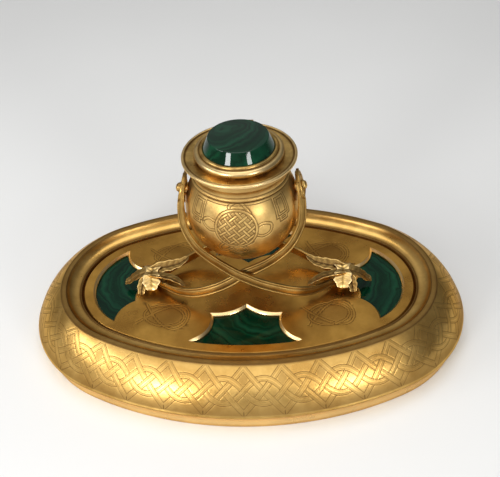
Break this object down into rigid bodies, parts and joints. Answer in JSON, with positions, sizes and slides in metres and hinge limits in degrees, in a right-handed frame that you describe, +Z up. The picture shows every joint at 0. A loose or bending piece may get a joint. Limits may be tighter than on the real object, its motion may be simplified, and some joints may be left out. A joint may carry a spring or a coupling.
{
  "type": "desk inkstand",
  "caption": "Oval desk inkstand: gilt metal base with malachite plaques, a hinged-lid ink pot hanging in crossed reeded ribbons above the deck.",
  "frame": {"origin": "middle of the oval foot, on the table", "axes": "+Z up, +X along the oval's length, +Y towards the lid's hinge, so the pictured side faces -Y"},
  "size_m": [0.3, 0.2, 0.156],
  "materials": {
    "gilt_bronze": "gilt, engraved, polished with darker recesses",
    "malachite": "polished, banded",
    "plain_brass": "plain machined",
    "steel": "blued",
    "glass": "clear"
  },
  "bodies": {
    "stand": {"base_foot": "gilt_bronze", "base_band": "gilt_bronze", "base_rim": "gilt_bronze", "deck_plate": "gilt_bronze", "plaque_front": "malachite", "plaque_back": "malachite", "plaque_left": "malachite", "plaque_right": "malachite", "backing_front": "plain_brass", "backing_back": "plain_brass", "backing_left": "plain_brass", "backing_right": "plain_brass", "backing_screws": "steel", "deck_screws": "plain_brass", "ribbon_left": "gilt_bronze", "ribbon_right": "gilt_bronze", "leaf_left": "gilt_bronze", "leaf_right": "gilt_bronze", "leaf_spacers": "gilt_bronze", "leaf_studs": "plain_brass", "leaf_washers": "plain_brass", "leaf_nuts": "plain_brass", "handle_studs": "gilt_bronze", "pot_body": "gilt_bronze", "pot_collar": "gilt_bronze", "ink_liner": "glass", "hinge_pin": "steel"},
    "lid": {"lid_flange": "gilt_bronze", "lid_ring": "gilt_bronze", "lid_stone": "malachite", "lid_skirt": "gilt_bronze", "lid_screw": "plain_brass"}
  },
  "joints": [
    {"name": "lid_hinge", "type": "hinge", "parent": "stand", "child": "lid", "pos_m": [0, 0.0382, 0.1392], "axis": [-1, 0, 0], "range_deg": [0, 105]}
  ]
}
